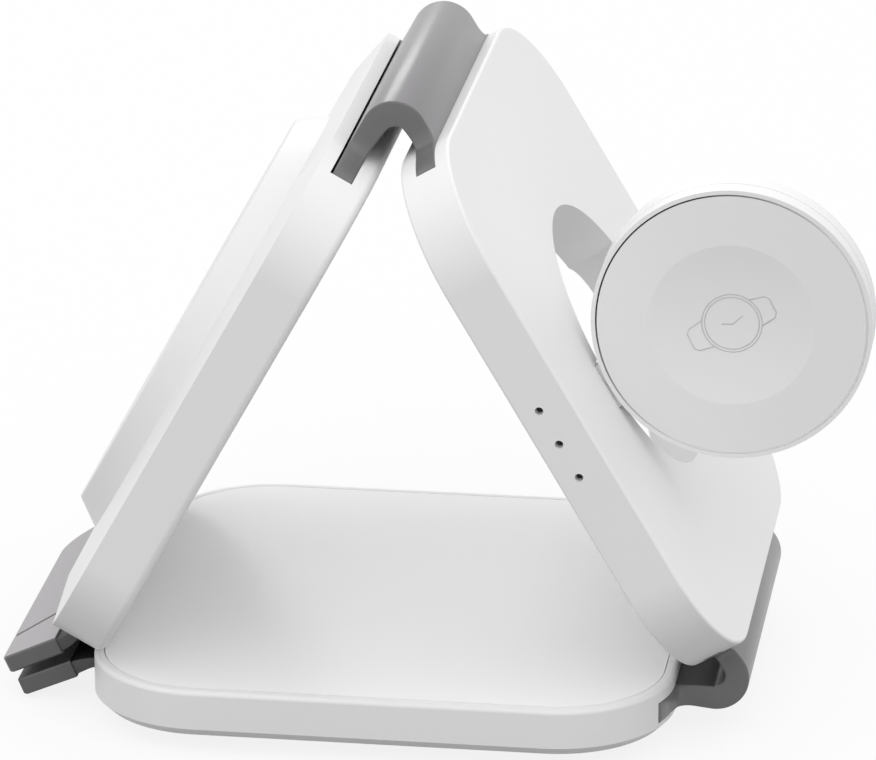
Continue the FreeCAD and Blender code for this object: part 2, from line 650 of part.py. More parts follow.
def add_knuckle(housing):
    """The hinge knuckle: a barrel in front of the rim, the arm that carries it, and the pin's bore."""
    barrel = new_sketch(housing, "YZ_Plane", "dims.dial_along")
    draw_circle(barrel, HINGE_ACROSS, HINGE_HEIGHT, "dims.knuckle_radius")
    pad(housing, barrel, "dims.knuckle_length", side=SYMMETRIC)
    arm = new_sketch(housing, "YZ_Plane", "dims.dial_along")
    low = (HINGE_ACROSS, f"{HINGE_HEIGHT} - dims.knuckle_radius")
    high = ("dims.dial_across - dims.dial_radius + dims.dial_wall", f"{HINGE_HEIGHT} + dims.knuckle_radius")
    draw_rectangle(arm, low, high)
    pad(housing, arm, "dims.knuckle_length", side=SYMMETRIC)
    bore = new_sketch(housing, "YZ_Plane", "dims.dial_along")
    draw_circle(bore, HINGE_ACROSS, HINGE_HEIGHT, "dims.pin_radius + dims.running_clearance")
    pocket(housing, bore, "dims.pin_length", side=SYMMETRIC)


def cut_dish(face):
    """A shallow round dish: the cap of a ball whose size follows from the dish's radius and depth."""
    radius = val("dish_radius")
    depth = val("dish_depth")
    ball = face.newObject("PartDesign::SubtractiveSphere", "dish")
    ball.setExpression("Radius", "(dims.dish_radius^2 + dims.dish_depth^2) / (2 * dims.dish_depth)")
    ball_radius = (radius ** 2 + depth ** 2) / (2 * depth)
    height = val("watch_thickness") - depth + ball_radius
    centre = FreeCAD.Vector(val("dial_along"), val("dial_across"), height)
    ball.AttachmentOffset = FreeCAD.Placement(centre, FreeCAD.Rotation())
    ball.Placement = FreeCAD.Placement(centre, FreeCAD.Rotation())
    doc.recompute()


def build_phone_panel():
    """Phone panel: shell, cover, raised pad, magnet ring, coil, shield and board."""
    frame = FRAMES["phone"]
    thickness = "dims.phone_thickness"
    shell = new_body("phone_panel_shell", frame)
    block = panel_block(shell, thickness, "dims.phone_edge_radius")
    wide_bevel(shell, thickness)
    cut_slot(shell, False, TAB_SLOT_WIDTH, NECK_SLOT, "dims.phone_level")
    cut_slot(shell, True, "dims.slot_width", STRAP_SLOT, "dims.phone_level", "dims.slot_gap")
    cover_recess(shell)
    cavity(shell, thickness)
    cover_plate("phone_panel_cover", frame)
    cavity_board("phone_panel_board", frame, thickness)

    face = new_body("phone_pad", frame)
    cone = face.newObject("PartDesign::AdditiveCone", "frustum")
    cone.setExpression("Radius1", "dims.pad_base_radius")
    cone.setExpression("Radius2", "dims.pad_top_radius")
    cone.setExpression("Height", "dims.pad_height")
    seat = FreeCAD.Placement(FreeCAD.Vector(val("pad_along"), 0, number(thickness)), FreeCAD.Rotation())
    cone.AttachmentOffset = seat
    cone.Placement = seat
    doc.recompute()
    round_edges(face, "dims.pad_edge_radius", number(f"{thickness} + dims.pad_height"))
    hollow = new_sketch(face, "XY_Plane", thickness)
    draw_circle(hollow, *PAD_CENTRE, "dims.pad_cavity_radius")
    pocket(face, hollow, "dims.pad_height - dims.pad_wall", reverse=True)

    radii = ("dims.magnet_ring_outer", "dims.magnet_ring_inner")
    ring("phone_magnet_ring", frame, PAD_CENTRE, radii, thickness, "dims.magnet_ring_height")
    shield = new_body("phone_shield", frame)
    disc(shield, PAD_CENTRE, "dims.phone_coil_outer", thickness, "dims.shield_thickness")
    radii = ("dims.phone_coil_outer", "dims.phone_coil_inner")
    start = f"{thickness} + dims.shield_thickness"
    ring("phone_coil", frame, PAD_CENTRE, radii, start, "dims.coil_thickness")
    return block


def strap_tongue(block, frame, at_far_end, level):
    """A strap's end in its slot, trimmed to the panel's round corners so that it lies flush."""
    clearance = val("fit_clearance")
    depth = val("slot_depth") - clearance
    width = val("slot_width") - 2 * clearance
    thickness = val("strap_thickness")
    start = val("panel_length") - depth if at_far_end else 0.0
    low = FreeCAD.Vector(start, -width / 2, val(level) - thickness / 2)
    tongue = Part.makeBox(depth, width, thickness, low).common(block.Shape)
    tongue.Placement = frame
    return tongue


def strap_band(corner, first_end, second_end):
    """A band bent round a corner: two flat legs from the panels' ends and a round bend between them."""
    half_thickness = val("strap_thickness") / 2
    radius = val("bend_radius")
    towards_first = (first_end - corner).normalize()
    towards_second = (second_end - corner).normalize()
    half_angle = towards_first.getAngle(towards_second) / 2
    inward = (towards_first + towards_second).normalize()
    centre = corner + inward * (radius / math.sin(half_angle))
    along = radius / math.tan(half_angle)
    first_out = (corner + towards_first * along - centre).normalize()
    second_out = (corner + towards_second * along - centre).normalize()

    def side(offset):
        points = (
            first_end + first_out * offset,
            centre + first_out * (radius + offset),
            centre - inward * (radius + offset),
            centre + second_out * (radius + offset),
            second_end + second_out * offset,
        )
        edges = (
            Part.LineSegment(points[0], points[1]).toShape(),
            Part.Arc(*points[1:4]).toShape(),
            Part.LineSegment(points[3], points[4]).toShape(),
        )
        return points, edges

    outer_points, outer = side(half_thickness)
    inner_points, inner = side(-half_thickness)
    ends = [Part.LineSegment(outer_points[i], inner_points[i]).toShape() for i in (0, -1)]
    outline = Part.Wire(Part.__sortEdges__([*outer, *inner, *ends]))
    width = val("strap_width")
    face = Part.Face(outline)
    face.translate(FreeCAD.Vector(0, -width / 2, 0))
    return face.extrude(FreeCAD.Vector(0, width, 0))


def build_strap(label, corner, first, second):
    """A strap: its bent band and a tongue in each panel's slot, moulded as one."""
    shape = None
    ends = []
    for block, frame, at_far_end, level in (first, second):
        along = val("panel_length") if at_far_end else 0.0
        ends.append(frame.multVec(FreeCAD.Vector(along, 0, val(level))))
        tongue = strap_tongue(block, frame, at_far_end, level)
        shape = tongue if shape is None else shape.fuse(tongue)
    band = strap_band(corner, *ends)
    strap = doc.addObject("Part::Feature", label)
    strap.Label = label
    strap.Shape = shape.fuse(band).removeSplitter()
    parts.append(strap)


def tab_frame(inner_end, droop):
    """Frame of a clasp tab's plate: X from its inner end to its tip, Z up through the plate's middle."""
    turn = FreeCAD.Rotation(FreeCAD.Vector(0, 1, 0), -droop) * FreeCAD.Rotation(FreeCAD.Vector(0, 0, 1), 180)
    return FreeCAD.Placement(inner_end, turn)


def clasp_frames():
    """Frames of the two plates: the lower hangs from its neck, the upper lies on the lower one's tip."""
    length = val("tab_length")
    half = val("tab_thickness") / 2
    slot = FRAMES["base"].multVec(FreeCAD.Vector(val("panel_length"), 0, val("base_level")))
    inner_end = slot + FreeCAD.Vector(-val("lower_tab_neck"), 0, -val("lower_tab_sink"))
    lower = tab_frame(inner_end, val("lower_tab_droop_angle"))
    tip = lower.multVec(FreeCAD.Vector(length, 0, half))
    upper_turn = tab_frame(FreeCAD.Vector(), val("upper_tab_droop_angle"))
    reach = FreeCAD.Vector(val("tab_overhang") - length, 0, val("tab_gap") + half)
    upper = tab_frame(tip + upper_turn.multVec(reach), val("upper_tab_droop_angle"))
    return lower, upper


def build_tab(label, frame, magnet_above):
    """A clasp tab's plate with a magnet bar let into the face that meets the other tab."""
    half = "dims.tab_thickness / 2"
    plate = new_body(label, frame)
    sketch = new_sketch(plate, "XY_Plane", f"-{half}")
    side = "dims.strap_width / 2"
    draw_rectangle(sketch, ("0", f"-{side}"), ("dims.tab_length", side))
    pad(plate, sketch, "dims.tab_thickness")
    tip = val("tab_length")
    end = number(side)

    def at_tip(edge):
        return edge.BoundBox.XMin > tip - TOLERANCE

    def front_corner(edge):
        return at_tip(edge) and edge.BoundBox.YMin > end - TOLERANCE

    def back_corner(edge):
        return at_tip(edge) and edge.BoundBox.YMax < TOLERANCE - end

    def tip_edge(edge):
        return at_tip(edge) and edge.BoundBox.YLength > tip

    dress(plate, "PartDesign::Fillet", "Radius", "dims.tab_front_radius", front_corner)
    dress(plate, "PartDesign::Fillet", "Radius", "dims.tab_back_radius", back_corner)
    dress(plate, "PartDesign::Chamfer", "Size", "dims.tab_chamfer", tip_edge)

    start = half if magnet_above else f"-{half}"
    seat = new_sketch(plate, "XY_Plane", start)
    draw_bar(seat, "dims.fit_clearance")
    pocket(plate, seat, "dims.bar_thickness", reverse=not magnet_above)
    bar = new_body(f"{label}_magnet", frame)
    sketch = new_sketch(bar, "XY_Plane", start)
    draw_bar(sketch, "0")
    pad(bar, sketch, "dims.bar_thickness", reverse=magnet_above)
    return plate


def draw_bar(sketch, margin):
    """A magnet bar's outline, in the middle of the plate."""
    half_width = f"dims.bar_width / 2 + {margin}"
    half_length = f"dims.bar_length / 2 + {margin}"
    low = (f"dims.tab_length / 2 - ({half_width})", f"-({half_length})")
    high = (f"dims.tab_length / 2 + ({half_width})", half_length)
    draw_rectangle(sketch, low, high)


def cut_groove(plate):
    """A slanting moulded line across the upper tab's upper face, from its tip to its neck."""
    sketch = new_sketch(plate, "XY_Plane", "dims.tab_thickness / 2")
    at_tip = "dims.strap_width / 2 - dims.groove_inset"
    at_neck = f"{at_tip} - dims.groove_slant"
    reach = "dims.tab_length - 2 * dims.tab_chamfer"
    half = "dims.groove_width / 2"
    corners = (
        ("0", f"{at_neck} - {half}"),
        (reach, f"{at_tip} - {half}"),
        (reach, f"{at_tip} + {half}"),
        ("0", f"{at_neck} + {half}"),
    )
    draw_polygon(sketch, corners)
    pocket(plate, sketch, "dims.groove_depth")


def build_neck(label, panel_frame, at_far_end, level_name, plate_frame):
    """A thin flexible neck: a flat tongue in the panel's slot, then a bend down to the plate's inner end."""
    half = val("neck_thickness") / 2
    level = val(level_name)
    length = val("panel_length")
    depth = val("slot_depth") - val("fit_clearance")
    ends = (length - depth, length) if at_far_end else (depth, 0.0)
    inner = [panel_frame.multVec(FreeCAD.Vector(x, 0, level - half)) for x in ends]
    outer = [panel_frame.multVec(FreeCAD.Vector(x, 0, level + half)) for x in ends]
    heights = (half, -half) if at_far_end else (-half, half)
    plate_ends = [plate_frame.multVec(FreeCAD.Vector(0, 0, z)) for z in heights]
    outline = Part.makePolygon([*inner, *plate_ends, *reversed(outer), inner[0]])
    width = val("strap_width")
    face = Part.Face(outline)
    face.translate(FreeCAD.Vector(0, -width / 2, 0))
    neck = doc.addObject("Part::Feature", label)
    neck.Label = label
    neck.Shape = face.extrude(FreeCAD.Vector(0, width, 0))
    parts.append(neck)


def check_parts():
    """Stop if any object failed, or any sub-part's shape is missing or broken."""
    doc.recompute()
    for item in doc.Objects:
        if "Invalid" in item.State or "Error" in item.State:
            raise RuntimeError(f"{item.Label} failed: {item.State}")
    for part in parts:
        if part.Shape.isNull() or not part.Shape.isValid() or part.Shape.Volume <= 0:
            raise RuntimeError(f"{part.Label} has no sound shape")


def export_parts():
    """Write one file for each sub-part."""
    os.makedirs("parts", exist_ok=True)
    for part in parts:
        part.Shape.exportStep(f"parts/{part.Label}.step")
        print(f"{part.Label:22s} solids {len(part.Shape.Solids)} volume {part.Shape.Volume:9.1f}")


def main():
    """Build the panels, the dial, the straps and the clasp, then check and write them."""
    base_block = build_base()
    watch_block = build_watch_panel()
    build_dial()
    phone_block = build_phone_panel()
    phone = (phone_block, FRAMES["phone"])
    watch = (watch_block, FRAMES["watch"])
    base = (base_block, FRAMES["base"])
    top_ends = (*phone, True, "phone_level"), (*watch, False, "watch_top_level")
    side_ends = (*watch, True, "watch_level"), (*base, False, "base_level")
    build_strap("top_strap", CORNERS["top"], *top_ends)
    build_strap("side_strap", CORNERS["right"], *side_ends)
    lower_frame, upper_frame = clasp_frames()
    build_tab("lower_tab", lower_frame, True)
    upper = build_tab("upper_tab", upper_frame, False)
    cut_groove(upper)
    build_neck("lower_tab_neck", FRAMES["base"], True, "base_level", lower_frame)
    build_neck("upper_tab_neck", FRAMES["phone"], False, "phone_level", upper_frame)
    check_parts()
    export_parts()


main()
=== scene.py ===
"""Looks of a folding wireless charger: three white panels on grey straps, stood as a triangle."""
import math

import bpy
import numpy as np
from mathutils import Matrix, Vector


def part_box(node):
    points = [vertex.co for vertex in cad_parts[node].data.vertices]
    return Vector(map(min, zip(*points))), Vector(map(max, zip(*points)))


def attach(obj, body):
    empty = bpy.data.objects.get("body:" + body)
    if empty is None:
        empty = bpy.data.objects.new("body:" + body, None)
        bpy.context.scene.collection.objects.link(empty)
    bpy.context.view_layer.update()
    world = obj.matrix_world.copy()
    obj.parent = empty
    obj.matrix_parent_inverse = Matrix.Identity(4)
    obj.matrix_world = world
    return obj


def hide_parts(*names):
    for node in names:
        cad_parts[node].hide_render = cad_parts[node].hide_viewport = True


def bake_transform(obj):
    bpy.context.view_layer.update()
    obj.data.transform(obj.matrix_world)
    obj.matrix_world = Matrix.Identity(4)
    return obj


bl_info = {
    "name": "Folding wireless charger",
    "version": (1, 0, 0),
    "blender": (4, 5, 0),
    "location": "View3D > Sidebar > Charger",
    "description": "Finishes, straps and stage of a folding wireless charger",
    "category": "Object",
}

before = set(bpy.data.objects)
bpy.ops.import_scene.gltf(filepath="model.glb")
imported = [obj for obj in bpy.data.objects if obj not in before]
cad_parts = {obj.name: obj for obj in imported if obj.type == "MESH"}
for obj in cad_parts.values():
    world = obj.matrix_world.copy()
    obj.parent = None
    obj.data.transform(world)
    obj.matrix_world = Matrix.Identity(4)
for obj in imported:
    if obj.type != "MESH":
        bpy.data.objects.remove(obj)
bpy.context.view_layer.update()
MM = 0.001
CORNER_POINTS = 5
SECTION_POINTS = 4 * CORNER_POINTS
TONGUE_STEPS = 32
FREE_STEPS = 12
ARC_STEPS = 32
SLOT_STEPS = 8
NECK_STEPS = 24
LAP_STEPS = 4
CASE_STEPS = 96
RING_STEPS = 192
CREASE = 40.0
DISH_CREASE = 6.0
# The colour sockets of a mix node, whose names repeat
MIX_FIRST, MIX_SECOND, MIX_RESULT = 6, 7, 2

WHITE_NODES = (
    "base_tray", "watch_panel_shell", "watch_panel_cover",
    "phone_panel_shell", "phone_panel_cover",
)
# Painted shade in the dial seam, darkest at its upper left
SEAM_SHADE_COLOUR = (0.02, 0.02, 0.022)
# Towards the dial seam's painted shade, and where that shade begins and is full, as shares of its
# radius
SEAM_SHADE_SIDE = (-0.8, 0.0, 0.6)
SEAM_SHADE_FADE = (-0.2, 0.8)
# Where a silicone edge's colour begins and is full, in millimetres from its side
CUT_START, CUT_FULL = 0.3, 0.1
WIRE_COLOURS = ((0.28, 0.10, 0.04), (0.78, 0.36, 0.17))
# Scale of the wave pattern that puts the wire's rings about 2 mm apart
WIRE_SCALE = 160.0
SILKY, DULL, MATT = 0.5, 0.1, 0.05
FULL_WHITE = (1.0, 1.0, 1.0, 1.0)
FLOOR_EDGE = 3.0
FLOOR_LIT = (0.25, 0.25, 0.25, 1.0)
FLOOR_SEEN = (0.85, 0.85, 0.85, 1.0)
FLOOR_GLOW = 0.85
SOFT_BOX, SMALL_BOX = 0.6, 0.2
LAMPS = {
    "right": ((0.42, -0.05, 0.8), SOFT_BOX),
    "left": ((-0.62, -0.12, 0.5), SOFT_BOX),
    "front": ((0.05, -0.62, 0.75), SOFT_BOX),
    "back": ((-0.1, 0.62, 0.72), SOFT_BOX),
    "crest": ((-0.25, 0.9, 0.42), SMALL_BOX),
}
LAMP_TARGET = Vector((0.0, 0.0, 0.03))

SIZES = {
    "panel_length": (70.0, "Each panel, along the strip"),
    "panel_width": (70.0, "Each panel, across the strip"),
    "corner_radius": (14.1, "Corners of every panel"),
    "base_thickness": (5.9, "Base panel"),
    "foot_height": (2.1, "Pad under the base"),
    "base_level": (3.0, "Base's inner face to its slots"),
    "watch_level": (2.7, "Watch panel's inner face to its lower slot"),
    "watch_top_level": (3.35, "Watch panel's inner face to its upper slot"),
    "strap_thickness": (2.5, "Straps"),
    "strap_width": (41.8, "Straps and clasp tabs"),
    "strap_edge": (0.25, "Rounding along a strap's long edges"),
    "top_swell": (-0.6, "Top strap thicker in its bend, on the inner side"),
    "side_swell": (0.5, "Side strap thicker in its bend, on the outer side"),
    "root_radius": (2.2, "Hollow where a strap widens into its slot"),
    "tongue_width": (53.7, "Strap ends in their slots"),
    "tongue_depth": (7.95, "Strap and neck ends in their slots"),
    "bend_radius": (2.7, "Middle of a folded strap"),
    "side_reach_base": (9.2, "Base's end to the side corner"),
    "side_reach_watch": (7.5, "Watch panel's lower end to the side corner"),
    "top_reach_watch": (7.5, "Watch panel's upper end to the top corner"),
    "top_reach_phone": (8.45, "Phone panel's upper end to the top corner"),
    "clasp_reach_phone": (5.3, "Phone panel's lower end to the clasp corner"),
    "clasp_reach_base": (4.5, "Base's left end to the clasp corner"),
    "tab_length": (7.2, "Clasp tab plates"),
    "tab_thickness": (2.2, "Clasp tab plates"),
    "tab_gap": (1.0, "Between the two tabs at their tips"),
    "tab_overhang": (0.4, "Upper tab's tip past the lower one"),
    "lower_tab_neck": (2.94, "Base's end to the lower plate"),
    "lower_tab_sink": (0.87, "Lower plate below its slot"),
    "lower_tab_droop": (23.0, "Lower plate's slope in degrees"),
    "upper_tab_droop": (24.5, "Upper plate's slope in degrees"),
    "neck_thickness": (1.2, "Clasp tabs' necks"),
    "neck_inset": (0.3, "Clasp tabs' necks narrower than their plates, each side"),
    "neck_lap": (0.4, "Clasp tabs' necks into their plates"),
    "dial_radius": (16.5, "Watch dial"),
    "dial_rim_wall": (0.5, "Housing's rim round the face plate"),
    "dial_seam_gap": (0.2, "Open seam round the face plate"),
    "dish_radius": (9.8, "Dish in the face plate"),
    "dish_depth": (0.9, "Dish in the face plate"),
    "filler_play": (0.02, "Seam filler narrower than the seam"),
    "filler_front": (0.04, "Face plate's front to the seam filler"),
    "filler_back": (0.6, "Face plate's front to the seam filler's back"),
    "case_radius": (3.55, "Watch sign's case"),
    "case_inner_radius": (3.2, "Watch sign's case, inner line"),
    "sign_tilt": (27.0, "Watch sign's slope in degrees"),
    "line_width": (0.13, "Printed lines"),
    "line_height": (0.03, "Printed lines, above the dish and below it"),
}
SIGN_BAND = ((3.1, 1.75), (4.9, 1.45), (5.35, 0.95), (5.35, -0.95), (4.9, -1.45), (3.1, -1.75))
SIGN_HANDS = ((1.5, 0.25), (0.0, -0.15), (-1.15, 0.35))

COLOURS = {
    "white": ((0.86, 0.86, 0.86), "Panels and dial"),
    # Painted light: a lighter copy of the white for the base's upper face, which the panels shade
    "cover": ((0.95, 0.95, 0.95), "Base's upper face"),
    "pad": ((0.80, 0.80, 0.80), "Raised round pad"),
    "seam": ((0.86, 0.86, 0.86), "Filler between face plate and rim"),
    "face": ((0.84, 0.84, 0.84), "Dial's face plate"),
    "line": ((0.6, 0.6, 0.61), "Watch sign in the dish"),
    "grey": ((0.185, 0.177, 0.185), "Straps"),
    # Painted light: the upper tab is a lighter copy of the strap grey for its lit top
    "grey_tab": ((0.32, 0.305, 0.318), "Upper tab"),
    # Painted shade: a near-black copy of the strap grey for the lower tab and the necks, in the
    # shade between the tabs
    "grey_dark": ((0.025, 0.0245, 0.025), "Lower tab and necks"),
    # Painted shade: near black on the straps' inner side, where the loops shade it
    "lining": ((0.06, 0.06, 0.061), "Inner side of the straps"),
    "strap_edge": ((0.15, 0.149, 0.15), "Cut edges of the straps"),
    "tab_edge": ((0.12, 0.119, 0.12), "Cut edges of tabs and necks"),
}
ROUGHNESS = {
    "plastic_roughness": (0.42, "Satin gloss of the panels"),
    "silicone_roughness": (0.3, "Straps and tabs"),
}
STAGE = {
    "azimuth": (8.262, "Degrees round the object"),
    "elevation": (19.865, "Degrees above the horizon"),
    "roll": (0.161, "Degrees about the line of sight"),
    "lens": (255.11, "Focal length in millimetres"),
    "sky": (0.95, "Even light from all round"),
    "right_power": (0.5, "Watts, from the upper right"),
    "left_power": (0.4, "Watts, from the upper left"),
    "front_power": (1.15, "Watts, from the front"),
    "back_power": (0.25, "Watts, from behind"),
    "crest_power": (0.5, "Watts, from behind, low"),
}


def settings_of(table, kind, **options):
    """Properties of one kind from a table of defaults and descriptions."""
    return {
        key: kind(
            name=key.replace("_", " ").capitalize(), description=about, default=value, **options)
        for key, (value, about) in table.items()
    }


class ChargerSizes(bpy.types.PropertyGroup):
    """Sizes of the added pieces and of the solids they fit, in millimetres and degrees."""

    __annotations__ = settings_of(SIZES, bpy.props.FloatProperty)


class ChargerFinish(bpy.types.PropertyGroup):
    """Colours and gloss of the finishes."""

    __annotations__ = {
        **settings_of(COLOURS, bpy.props.FloatVectorProperty, subtype="COLOR"),
        **settings_of(ROUGHNESS, bpy.props.FloatProperty, subtype="FACTOR"),
    }


class ChargerStage(bpy.types.PropertyGroup):
    """Camera and light."""

    __annotations__ = {
        "eye": bpy.props.FloatVectorProperty(
            name="Camera place", description="In millimetres", default=(105.15, -699.53, 291.17)),
        **settings_of(STAGE, bpy.props.FloatProperty),
    }


def sizes():
    """The shared sizes of this scene."""
    return bpy.context.scene.charger_sizes


def finish():
    """The finishes' settings of this scene."""
    return bpy.context.scene.charger_finish


class Shader:
    """A node material under construction: one surface shader, and helpers that add nodes."""

    def __init__(self, name):
        self.material = bpy.data.materials.new(name)
        self.material.use_nodes = True
        self.tree = self.material.node_tree
        self.surface = self.tree.nodes["Principled BSDF"]
        self.place = self.add("ShaderNodeTexCoord").outputs["Object"]

    def add(self, kind, **settings):
        """A new node with some of its settings."""
        node = self.tree.nodes.new(kind)
        for key, value in settings.items():
            setattr(node, key, value)
        return node

    def join(self, source, target):
        """Link an output to an input."""
        self.tree.links.new(source, target)

    def noise(self, scale, detail=2.0):
        """A noise pattern in the object's own space; scale is cells in a metre."""
        node = self.add("ShaderNodeTexNoise")
        node.inputs["Scale"].default_value = scale
        node.inputs["Detail"].default_value = detail
        self.join(self.place, node.inputs["Vector"])
        return node.outputs["Fac"]

    def remap(self, source, from_low, from_high, low, high, **settings):
        """Map one range of values onto another, and hold it at the ends."""
        node = self.add("ShaderNodeMapRange", **settings)
        for socket, value in zip(node.inputs[1:5], (from_low, from_high, low, high)):
            socket.default_value = value
        self.join(source, node.inputs["Value"])
        return node.outputs["Result"]

    def spread(self, source, low, high):
        """Stretch a pattern from its middle range, 0.3 to 0.7, onto low to high."""
        return self.remap(source, 0.3, 0.7, low, high)

    def blend(self, factor, first, second):
        """Mix two colours by a factor."""
        node = self.add("ShaderNodeMix", data_type="RGBA")
        self.join(factor, node.inputs["Factor"])
        for index, colour in ((MIX_FIRST, first), (MIX_SECOND, second)):
            if isinstance(colour, bpy.types.NodeSocket):
                self.join(colour, node.inputs[index])
            else:
                node.inputs[index].default_value = (*colour, 1.0)
        return node.outputs[MIX_RESULT]

    def tint(self, pattern, colour, low, high):
        """A colour that a pattern makes darker and lighter, by the factors low to high."""
        return self.blend(pattern, shade(colour, low), shade(colour, high))

    def seam_shade(self, centre, radius):
        """Painted shade on a round seam about a Y axis: 1 at its upper left, 0 at its lower right.

        The centre and the radius are in metres.
        """
        flat = self.add("ShaderNodeVectorMath", operation="SUBTRACT")
        flat.inputs[1].default_value = centre
        self.join(self.place, flat.inputs[0])
        side = self.add("ShaderNodeVectorMath", operation="DOT_PRODUCT")
        side.inputs[1].default_value = SEAM_SHADE_SIDE
        self.join(flat.outputs["Vector"], side.inputs[0])
        return self.remap(side.outputs["Value"], *(share * radius for share in SEAM_SHADE_FADE), 0.0, 1.0)

    def relief(self, source, strength, depth):
        """Raise the surface by a pattern; depth is in metres."""
        node = self.add("ShaderNodeBump")
        node.inputs["Strength"].default_value = strength
        node.inputs["Distance"].default_value = depth
        self.join(source, node.inputs["Height"])
        self.join(node.outputs["Normal"], self.surface.inputs["Normal"])


def shade(colour, factor):
    """A colour made lighter or darker."""
    return tuple(min(1.0, channel * factor) for channel in colour)


def plastic(name, colour, roughness, seam=None):
    """Moulded satin plastic: a fine spark-eroded grain, faint flow clouds and uneven gloss.

    A seam, given as its centre and radius in metres, gets painted shade towards its upper left.
    """
    shader = Shader(name)
    clouds = shader.noise(scale=45.0, detail=3.0)
    grain = shader.noise(scale=5200.0)
    tone = shader.tint(clouds, colour, low=0.985, high=1.015)
    # Painted shade towards the seam's upper left
    if seam is not None:
        tone = shader.blend(shader.seam_shade(*seam), tone, SEAM_SHADE_COLOUR)
    shader.join(tone, shader.surface.inputs["Base Color"])
    gloss = shader.spread(clouds, roughness - 0.03, roughness + 0.03)
    shader.join(gloss, shader.surface.inputs["Roughness"])
    shader.surface.inputs["Specular IOR Level"].default_value = 0.42
    shader.relief(grain, strength=0.06, depth=0.02 * MM)
    return shader.material


def silicone(name, colour, edge_colour, roughness, half_width, gloss_level):
    """Soft-touch silicone: smooth and powdery, with cut ends near half_width across the part."""
    shader = Shader(name)
    dust = shader.noise(scale=900.0)
    grain = shader.noise(scale=7000.0)
    tone = shader.tint(dust, colour, low=0.98, high=1.02)
    split = shader.add("ShaderNodeSeparateXYZ")
    shader.join(shader.place, split.inputs["Vector"])
    across = shader.add("ShaderNodeMath", operation="ABSOLUTE")
    shader.join(split.outputs["Y"], across.inputs[0])
    start, full = half_width - CUT_START * MM, half_width - CUT_FULL * MM
    cut = shader.remap(
        across.outputs["Value"], start, full, 0.0, 1.0, interpolation_type="SMOOTHSTEP")
    edge_tone = shader.tint(dust, edge_colour, low=0.96, high=1.04)
    shader.join(shader.blend(cut, tone, edge_tone), shader.surface.inputs["Base Color"])
    gloss = shader.spread(dust, roughness - 0.015, roughness + 0.015)
    shader.join(gloss, shader.surface.inputs["Roughness"])
    shader.surface.inputs["Specular IOR Level"].default_value = gloss_level
    shader.surface.inputs["Sheen Weight"].default_value = 0.24 * gloss_level
    shader.surface.inputs["Sheen Roughness"].default_value = 0.4
    shader.relief(grain, strength=0.03, depth=0.03 * MM)
    return shader.material


def metal(name, colour, roughness):
    """Drawn or plated metal with faint mottling in its gloss."""
    shader = Shader(name)
    mottle = shader.noise(scale=1500.0, detail=4.0)
    tone = shader.tint(mottle, colour, low=0.92, high=1.06)
    shader.join(tone, shader.surface.inputs["Base Color"])
    gloss = shader.spread(mottle, roughness - 0.06, roughness + 0.06)
    shader.join(gloss, shader.surface.inputs["Roughness"])
    shader.surface.inputs["Metallic"].default_value = 1.0
    return shader.material


def copper_winding(name, centre, turn):
    """Enamelled wire: fine rings about a coil's axis, through centre and turned from upright."""
    shader = Shader(name)
    place = shader.add("ShaderNodeMapping", vector_type="TEXTURE")
    place.inputs["Location"].default_value = centre
    place.inputs["Rotation"].default_value = turn
    shader.join(shader.place, place.inputs["Vector"])
    rings = shader.add("ShaderNodeTexWave", wave_type="RINGS", rings_direction="Z")
    rings.inputs["Scale"].default_value = WIRE_SCALE
    shader.join(place.outputs["Vector"], rings.inputs["Vector"])
    tone = shader.blend(rings.outputs["Fac"], *WIRE_COLOURS)
    shader.join(tone, shader.surface.inputs["Base Color"])
    shader.surface.inputs["Metallic"].default_value = 0.85
    shader.surface.inputs["Roughness"].default_value = 0.35
    shader.relief(rings.outputs["Fac"], strength=0.5, depth=0.1 * MM)
    return shader.material


def dress(names, material, crease=CREASE):
    """Give CAD nodes a finish, with smooth curves and crisp corners from crease degrees up."""
    for name in names:
        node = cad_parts[name]
        node.data.materials.clear()
        node.data.materials.append(material)
        node.data.polygons.foreach_set("use_smooth", np.ones(len(node.data.polygons), bool))
        weld = node.modifiers.new("weld", "WELD")
        weld.merge_threshold = 1e-6
        split = node.modifiers.new("crisp", "EDGE_SPLIT")
        split.split_angle = math.radians(crease)
        node.modifiers.new("even", "WEIGHTED_NORMAL")


def new_piece(name, points, faces, material):
    """A smooth mesh object from an array of points and a list of faces."""
    mesh = bpy.data.meshes.new(name)
    mesh.from_pydata(points.tolist(), [], faces)
    mesh.polygons.foreach_set("use_smooth", np.ones(len(mesh.polygons), bool))
    mesh.materials.append(material)
    mesh.update()
    piece = bpy.data.objects.new(name, mesh)
    bpy.context.scene.collection.objects.link(piece)
    return piece


def quads_between(row, columns):
    """Quads from each row of columns points to the next one, by the first index of each row."""
    row = row[:, None]
    column = np.arange(columns)[None, :]
    after = (column + 1) % columns
    corners = (row + column, row + columns + column, row + columns + after, row + after)
    return np.stack(corners, axis=-1).reshape(-1, 4)


def tube_faces(rows, columns):
    """Faces of a closed tube of rows by columns points: quads round it and one face at each end."""
    quads = quads_between(np.arange(rows - 1) * columns, columns)
    ends = [list(range(columns)), list(range((rows - 1) * columns, rows * columns))[::-1]]
    return quads.tolist() + ends


def ring_faces(rows, columns):
    """Faces of a closed ring of rows by columns points: the last row is joined to the first."""
    quads = quads_between(np.arange(rows) * columns, columns)
    return (quads % (rows * columns)).tolist()


